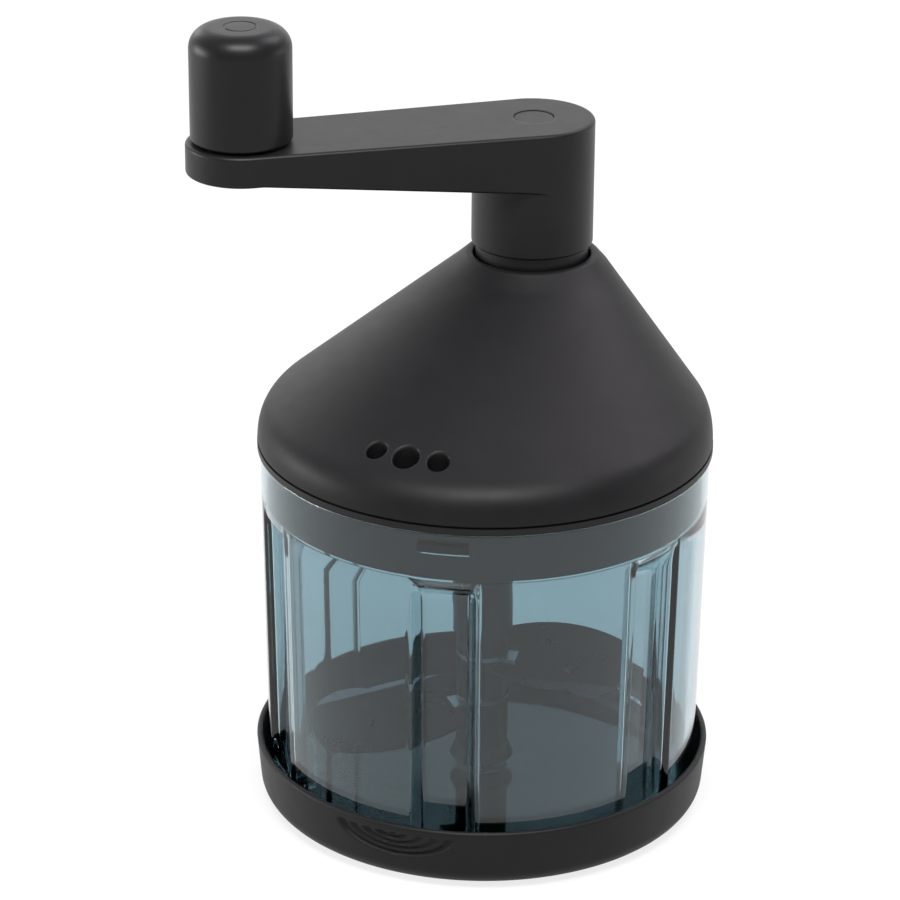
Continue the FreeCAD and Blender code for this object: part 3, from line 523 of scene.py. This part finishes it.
def base_tray():
    tip = TRAY_RIM_R - TRAY_LIP
    outer = rounded([(0, GRIP_TOP_Z, 0), (GRIP_R, GRIP_TOP_Z, 0), (GRIP_R, TRAY_UNDER_Z, 0.2),
                     (TRAY_FOOT_R, TRAY_UNDER_Z, TRAY_EDGE), (TRAY_RIM_R, TRAY_RIM_Z, 0),
                     (TRAY_RIM_R, TRAY_TOP_Z, TRAY_LIP), (tip, TRAY_TOP_Z, 0)], 12)
    inner = rounded([(tip, TRAY_TOP_Z, 0), (tip - TRAY_LIP, TRAY_TOP_Z, TRAY_LIP),
                     (tip - TRAY_LIP, TRAY_RIM_Z, 0), (TRAY_SEAT_R, TRAY_FLOOR_Z + TRAY_CURVE, 0),
                     (TRAY_SEAT_R, TRAY_FLOOR_Z, TRAY_CURVE), (0, TRAY_FLOOR_Z, 0)], 8)
    outline = []
    for r, z in dense(outer, 0.3):
        under = r <= TRAY_FOOT_R - TRAY_EDGE and r != GRIP_R
        if not under or not outline or math.dist(outline[-1], (r, z)) > 6.0:
            outline.append((r, z))
    near = even(-PAD_HALF_W - PAD_MARGIN, PAD_HALF_W + PAD_MARGIN, 0.28)
    rest = even(near[-1] / TRAY_RIM_R, 2 * math.pi + near[0] / TRAY_RIM_R, 0.025)[1:-1]
    turns = [u / TRAY_RIM_R for u in near] + rest
    rows = []
    for r, z in outline + inner[1:]:
        if r < 1e-6:
            rows.append([(0.0, 0.0, z)])
            continue
        on_wall = r > TRAY_FOOT_R - PAD_WALL_ZONE and z < PAD_TOP_Z + PAD_TOP_ZONE
        row = []
        for turn in turns:
            across = (turn if turn < math.pi else turn - 2 * math.pi) * TRAY_RIM_R
            spoke = r - (pad_depth(across, z) if on_wall else 0.0)
            angle = PAD_ANGLE + turn
            row.append((spoke * math.cos(angle), spoke * math.sin(angle), z))
        rows.append(row)
    made = skin("tray_visual", rows, smooth_angle=50.0)
    stand_for(made, "base_tray")


# ---- lid ---------------------------------------------------------------
LID_SPOKES = 384
WALL_END_Z = 103.9
KNEE_Z = 110.7
KNEE_END_Z = 113.6
CONE_TOP_R = 19.6
CONE_TOP_Z = 143.3
LID_WALL = 2.3
LIP_SHOULDER_R = 17.4
WELL_R = 15.5
WELL_Z = 138.0
NECK_HOLE_R = 11.6
NECK_R = 18.0
NECK_LOW_Z = 127.0
CEILING_Z = 141.0
POUR_RING_R = 48.5
POUR_STEP = math.radians(10.2)
POUR_RADII = (2.65, 3.4, 2.8)
POUR_EDGE = 0.7
SCREW_RING_R = 49.5
SCREW_ANGLES = (40, 140, 222, 318)
SCREW_POST_R = 3.4
SCREW_R = 1.2
SCREW_BITE = 4.6
LID_LOW_EDGE = 0.25
SMALL_EDGE = 0.3
NECK_EDGE = 0.4


def lid_section(z):
    """Radius and Y centre of the lid's round outline at height z."""
    def on_cone(height):
        t = (height - KNEE_Z) / (CONE_TOP_Z - KNEE_Z)
        return LID_R + (CONE_TOP_R - LID_R) * t, HUB.y * t

    if z <= WALL_END_Z:
        return LID_R, 0.0
    if z >= KNEE_END_Z:
        return on_cone(z)
    end_r, end_y = on_cone(KNEE_END_Z)
    a = WALL_END_Z - 2 * KNEE_Z + KNEE_END_Z
    b = 2 * (KNEE_Z - WALL_END_Z)
    s = (-b + math.sqrt(b * b - 4 * a * (WALL_END_Z - z))) / (2 * a)
    return LID_R * (1 - s * s) + end_r * s * s, end_y * s * s


def cone_z(x, y):
    """Height of the cone's surface over a point."""
    narrow = LID_R - CONE_TOP_R
    a = narrow ** 2 - HUB.y ** 2
    b = 2 * (HUB.y * y - LID_R * narrow)
    c = LID_R ** 2 - x * x - y * y
    t = (-b - math.sqrt(b * b - 4 * a * c)) / (2 * a)
    return KNEE_Z + (CONE_TOP_Z - KNEE_Z) * t


def pour_cutter(x, y, radius):
    """Solid of a pouring hole whose upper edge is rolled into the sloping surface."""
    spokes = [2 * math.pi * k / 96 for k in range(96)]
    rows = [[(x, y, cone_z(x, y) + 3.0)]]
    flare = [(POUR_EDGE + 0.15, 0.1)]
    for angle in even(20.0, 90.0, 10.0):
        a = math.radians(angle)
        flare.append((POUR_EDGE * (1 - math.sin(a)), -POUR_EDGE * (1 - math.cos(a))))
    for out, up in flare:
        ring = [(x + (radius + out) * math.cos(a), y + (radius + out) * math.sin(a)) for a in spokes]
        rows.append([(px, py, cone_z(px, py) + up) for px, py in ring])
    rows.append(circle(radius, LID_LOW_Z - 1, 96, x, y))
    rows.append([(x, y, LID_LOW_Z - 1)])
    return skin("pour_cutter", rows)


def screw_post(x, y):
    rim = [cone_z(px, py) for px, py, pz in circle(SCREW_POST_R, 0, 24, x, y)]
    top = min(rim) - LID_WALL / 2
    hole = LID_LOW_Z + SCREW_BITE
    outline = [(0, hole), (SCREW_R, hole), (SCREW_R, LID_LOW_Z), (SCREW_POST_R, LID_LOW_Z),
               (SCREW_POST_R, top), (0, top)]
    return lathe("post", outline, (x, y), 48)


def lid_shell():
    wall_low = LID_LOW_Z + 2 * LID_LOW_EDGE
    foot = rounded([(LID_R - 1, LID_LOW_Z, 0), (LID_R, LID_LOW_Z, LID_LOW_EDGE), (LID_R, wall_low, 0)], 5)
    outside = [(LID_R - LID_WALL, 0.0, LID_LOW_Z)]
    outside += [(r, 0.0, z) for r, z in foot[:-1]]
    outside += [(*lid_section(z), z) for z in even(wall_low, KNEE_END_Z, 0.6)]
    outside += [(*lid_section(z), z) for z in even(KNEE_END_Z, CONE_TOP_Z, 1.0)[1:-1]]
    neck = rounded([(CONE_TOP_R + 0.4, CONE_TOP_Z - 0.3, 0), (LIP_SHOULDER_R, LIP_Z, 2.2),
                    (WELL_R, LIP_Z, 0.8), (WELL_R, WELL_Z, SMALL_EDGE), (NECK_HOLE_R, WELL_Z, SMALL_EDGE),
                    (NECK_HOLE_R, NECK_LOW_Z, SMALL_EDGE), (NECK_R, NECK_LOW_Z, NECK_EDGE),
                    (NECK_R, CEILING_Z - LID_WALL, 0)], 10)[1:]
    outside += [(r, HUB.y, z) for r, z in neck]
    inside = []
    for z in even(CEILING_Z, LID_LOW_Z + LID_WALL + SMALL_EDGE, 1.5):
        radius, y = lid_section(z)
        inside.append((radius - LID_WALL, y, z - LID_WALL))
    rows = [circle(r, z, LID_SPOKES, 0.0, y) for r, y, z in outside + inside]
    made = skin("lid_visual", rows, looped=True)
    for angle in SCREW_ANGLES:
        a = math.radians(angle)
        post = screw_post(SCREW_RING_R * math.cos(a), SCREW_RING_R * math.sin(a))
        combine(made, post, "UNION")
    for step, radius in zip((-POUR_STEP, 0.0, POUR_STEP), POUR_RADII):
        a = step - math.pi / 2
        cutter = pour_cutter(POUR_RING_R * math.cos(a), POUR_RING_R * math.sin(a), radius)
        combine(made, cutter, "DIFFERENCE")
    even_normals(made)
    stand_for(made, "lid_shell")


# ---- crank -------------------------------------------------------------
SLEEVE_R = 16.15
SLEEVE_EDGE = 0.8
ARM_END_R = 14.6
ARM_ROOT_Z = 166.5
ARM_END_Z = 174.5
ARM_FLAT = 75.6
ARM_EDGE = 1.0
ARM_LOW_EDGE = 0.7
CAP_SEAT_R = 5.3
CAP_SEAT_Z = 172.0
SCREW_HOLE_R = 2.85
SOCKET_R = 8.2
SOCKET_Z = 160.4
PIN_HOLE_R = 3.02
LOW_EDGE_START = 5.0
SLEEVE_RISE = 2.0


def towards(angle):
    return Vector((math.cos(angle), math.sin(angle)))


def arm_outline():
    """Spokes (centre, direction, radius, share of the low edge) round the arm, seen from above."""
    gap = Vector((KNOB.x - HUB.x, KNOB.y - HUB.y))
    heading = math.atan2(gap.y, gap.x)
    lean = math.acos((SLEEVE_R - ARM_END_R) / gap.length)
    hub = Vector((HUB.x, HUB.y))
    back = even(lean, 2 * math.pi - lean, 0.05)
    spokes = [(hub, heading + a, SLEEVE_R, 0.0) for a in back]
    front = even(-lean, lean, 0.05)
    sides = even(0.0, 1.0, 0.013)[1:-1]

    def along(side, share):
        return (hub + gap * share, heading + side * lean,
                SLEEVE_R + (ARM_END_R - SLEEVE_R) * share, min(1.0, share * gap.length / LOW_EDGE_START))

    spokes += [along(-1, share) for share in sides]
    spokes += [(hub + gap, heading + a, ARM_END_R, 1.0) for a in front]
    spokes += [along(1, share) for share in reversed(sides)]
    return spokes


def crank_arm():
    hub = Vector((HUB.x, HUB.y))
    ahead = Vector((KNOB.x - HUB.x, KNOB.y - HUB.y)).normalized()
    spokes = arm_outline()
    quarter = math.pi / 2
    sleeve_low = SLEEVE_LOW_Z + SLEEVE_RISE

    def outer(inset):
        return [c + towards(a) * (r - inset) for c, a, r, low in spokes]

    def under(p):
        reach = min((p - hub).dot(ahead), ARM_FLAT)
        return ARM_ROOT_Z + (ARM_END_Z - ARM_ROOT_Z) * reach / ARM_FLAT

    def round_hub(radius):
        return [hub + (p - hub).normalized() * radius for p in outer(0.0)]

    def flat(points, z):
        return [(p.x, p.y, z) for p in points]

    def on_underside(points, rise=0.0):
        heights = [under(p) if spoke[3] > 0 else under(hub) for p, spoke in zip(points, spokes)]
        return [(p.x, p.y, z + rise) for p, z in zip(points, heights)]

    def eased(turn):
        """Outline at one step of the low edge's rounding."""
        inset = ARM_LOW_EDGE * (1 - math.sin(turn))
        return [c + towards(a) * (r - inset * low) for c, a, r, low in spokes]

    sleeve = rounded([(SOCKET_R, SLEEVE_LOW_Z, 0), (SLEEVE_R, SLEEVE_LOW_Z, SLEEVE_EDGE),
                      (SLEEVE_R, sleeve_low, 0)], 8)
    rows = [flat(round_hub(r), z) for r, z in sleeve]
    join = round_hub(SLEEVE_R)
    for share in (0.35, 0.7, 1.0):
        rows.append([(x, y, sleeve_low + (z - sleeve_low) * share) for x, y, z in on_underside(join)])
    for share in (0.25, 0.5, 0.75, 1.0):
        rows.append(on_underside([a.lerp(b, share) for a, b in zip(join, eased(0.0))]))
    for turn in even(0.0, quarter, math.pi / 12)[1:]:
        rows.append(on_underside(eased(turn), ARM_LOW_EDGE * (1 - math.cos(turn))))
    wall = rows[-1]
    top = ARM_TOP_Z - ARM_EDGE
    for share in (0.5, 1.0):
        rows.append([(x, y, z + (top - z) * share) for x, y, z in wall])
    for turn in even(0.0, quarter, math.pi / 16)[1:]:
        rows.append(flat(outer(ARM_EDGE * (1 - math.cos(turn))), top + ARM_EDGE * math.sin(turn)))
    plug = round_hub(CAP_SEAT_R + 0.8)
    face = outer(ARM_EDGE + 0.4)
    for share in (0.0, 0.3, 0.6, 0.85, 1.0):
        rows.append(flat([a.lerp(b, share) for a, b in zip(face, plug)], ARM_TOP_Z))
    bore = ((CAP_SEAT_R + 0.2, ARM_TOP_Z), (CAP_SEAT_R + 0.06, ARM_TOP_Z - 0.06),
            (CAP_SEAT_R, ARM_TOP_Z - 0.25), (CAP_SEAT_R, CAP_SEAT_Z), (SCREW_HOLE_R, CAP_SEAT_Z),
            (SCREW_HOLE_R, SOCKET_Z), (SOCKET_R, SOCKET_Z))
    rows += [flat(round_hub(r), z) for r, z in bore]
    made = skin("arm_visual", rows, looped=True)
    hole_low, hole_high = ARM_END_Z - 5, ARM_TOP_Z + 2
    hole = lathe("hole", [(0, hole_low), (PIN_HOLE_R, hole_low), (PIN_HOLE_R, hole_high), (0, hole_high)],
                 (KNOB.x, KNOB.y), 64)
    combine(made, hole, "DIFFERENCE")
    even_normals(made)
    stand_for(made, "crank_arm")


# ---- knob --------------------------------------------------------------
KNOB_SHOULDER = 5.6
KNOB_FOOT = 0.8
KNOB_BORE_R = 10.6
KNOB_BORE_Z = 205.0
MARK_R = 4.2
MARK_HALF_W = 0.3
MARK_DEPTH = 0.25
MARK_EDGE = 0.08
MARK_BOTTOM_EDGE = 0.1


def knob():
    outline = rounded([(0, KNOB_BORE_Z, 0), (KNOB_BORE_R, KNOB_BORE_Z, 0), (KNOB_BORE_R, KNOB_LOW_Z, 0.3),
                       (KNOB_R, KNOB_LOW_Z, KNOB_FOOT), (KNOB_R, KNOB_TOP_Z, KNOB_SHOULDER),
                       (MARK_R + MARK_HALF_W, KNOB_TOP_Z, MARK_EDGE),
                       (MARK_R, KNOB_TOP_Z - MARK_DEPTH, MARK_BOTTOM_EDGE),
                       (MARK_R - MARK_HALF_W, KNOB_TOP_Z, MARK_EDGE), (0, KNOB_TOP_Z, 0)], 16)
    made = lathe("knob_visual", outline, (KNOB.x, KNOB.y), 192)
    stand_for(made, "knob")


# ---- stage -------------------------------------------------------------
FLOOR_HALF = 6000.0
FLOOR_GLOW = 0.80
WORLD_FRONT = 0.5
WORLD_BACK = 1.7
BACK_STARTS = 0.3
SOFTBOXES = {
    "top_front": ((0.0, -0.42, 0.9), 1.4, (0.9, 0.45), 28.0, (1, 1, 1)),
    "key_right": ((0.51, 0.40, 0.76), 1.3, (0.6, 0.6), 5.5, (1.0, 0.94, 1.0)),
    "rim_left": ((-0.5, 0.8, 0.35), 1.3, (0.35, 0.35), 0.9, (1, 1, 1)),
    "side_left": ((-0.97, 0.1, 0.12), 1.3, (0.8, 0.4), 10.0, (1, 1, 1)),
    "side_right": ((0.97, 0.15, 0.12), 1.3, (0.8, 0.4), 2.0, (1, 1, 1)),
}


def white_floor():
    corners = [(-1, -1), (1, -1), (1, 1), (-1, 1)]
    floor = mesh_object("floor", [(x * FLOOR_HALF, y * FLOOR_HALF, 0) for x, y in corners], [(0, 1, 2, 3)])
    f = Finish("floor_paper")
    f.shade(f.span(f.noise(120.0, 3.0), 0, 1), (0.12, 0.12, 0.12), (0.13, 0.13, 0.13))
    f.set(Roughness=0.9, Emission_Color=(1, 1, 1, 1), Emission_Strength=FLOOR_GLOW)
    floor.data.materials.append(f.material)


def studio_world():
    """Soft white surround, brighter behind the object than in front of it."""
    world = bpy.data.worlds.new("studio")
    bpy.context.scene.world = world
    world.use_nodes = True
    tree = world.node_tree
    background = tree.nodes["Background"]
    direction = tree.nodes.new("ShaderNodeTexCoord").outputs["Generated"]
    split = tree.nodes.new("ShaderNodeSeparateXYZ")
    ramp = tree.nodes.new("ShaderNodeValToRGB")
    tree.links.new(direction, split.inputs["Vector"])
    tree.links.new(split.outputs["Z"], ramp.inputs["Fac"])
    tree.links.new(ramp.outputs["Color"], background.inputs["Color"])
    stops = ((0.3, (0.9, 0.9, 0.9, 1)), (0.85, (1, 0.98, 1, 1)))
    for stop, (position, colour) in zip(ramp.color_ramp.elements, stops):
        stop.position = position
        stop.color = colour
    depth = tree.nodes.new("ShaderNodeVectorMath")
    depth.operation = "DOT_PRODUCT"
    depth.inputs[1].default_value = turned_to_view(0, 1, 0)
    tree.links.new(direction, depth.inputs[0])
    falloff = tree.nodes.new("ShaderNodeMapRange")
    falloff.inputs["From Min"].default_value = BACK_STARTS
    falloff.inputs["To Min"].default_value = WORLD_FRONT
    falloff.inputs["To Max"].default_value = WORLD_BACK
    tree.links.new(depth.outputs["Value"], falloff.inputs["Value"])
    tree.links.new(falloff.outputs["Result"], background.inputs["Strength"])


def turned_to_view(x, y, z):
    """A direction given as right, away and up, seen from the camera's side of the object."""
    c, s = math.cos(VIEW_AZIMUTH), math.sin(VIEW_AZIMUTH)
    return Vector((x * c - y * s, x * s + y * c, z))


def softbox(name, direction, distance, size, power, colour):
    data = bpy.data.lights.new(name, "AREA")
    data.shape = "RECTANGLE"
    data.size, data.size_y = size
    data.energy = power
    data.color = colour
    lamp = bpy.data.objects.new(name, data)
    target = Vector((0, 0, 100 * MM))
    lamp.location = target + turned_to_view(*direction).normalized() * distance
    lamp.rotation_euler = (target - lamp.location).to_track_quat("-Z", "Y").to_euler()
    lamp.visible_camera = False
    bpy.context.scene.collection.objects.link(lamp)


def camera():
    data = bpy.data.cameras.new("camera")
    data.lens = LENS
    data.sensor_width = 36.0
    data.clip_end = 50.0
    made = bpy.data.objects.new("camera", data)
    away = VIEW_DISTANCE * MM
    place = Vector((away * math.sin(VIEW_AZIMUTH), -away * math.cos(VIEW_AZIMUTH), VIEW_HEIGHT * MM))
    turn = (Matrix.Rotation(VIEW_AZIMUTH + VIEW_YAW, 4, "Z")
            @ Matrix.Rotation(math.pi / 2 - VIEW_PITCH, 4, "X")
            @ Matrix.Rotation(VIEW_ROLL, 4, "Z"))
    made.matrix_world = Matrix.Translation(place) @ turn
    bpy.context.scene.collection.objects.link(made)
    bpy.context.scene.camera = made


for node, part in frame["nodes"].items():
    paint(part, NODE_SLOTS[node])

base_tray()
bowl()
lid_shell()
crank_arm()
knob()
white_floor()
studio_world()
for name, box in SOFTBOXES.items():
    softbox(name, *box)
camera()
bpy.context.scene.view_settings.view_transform = "Standard"
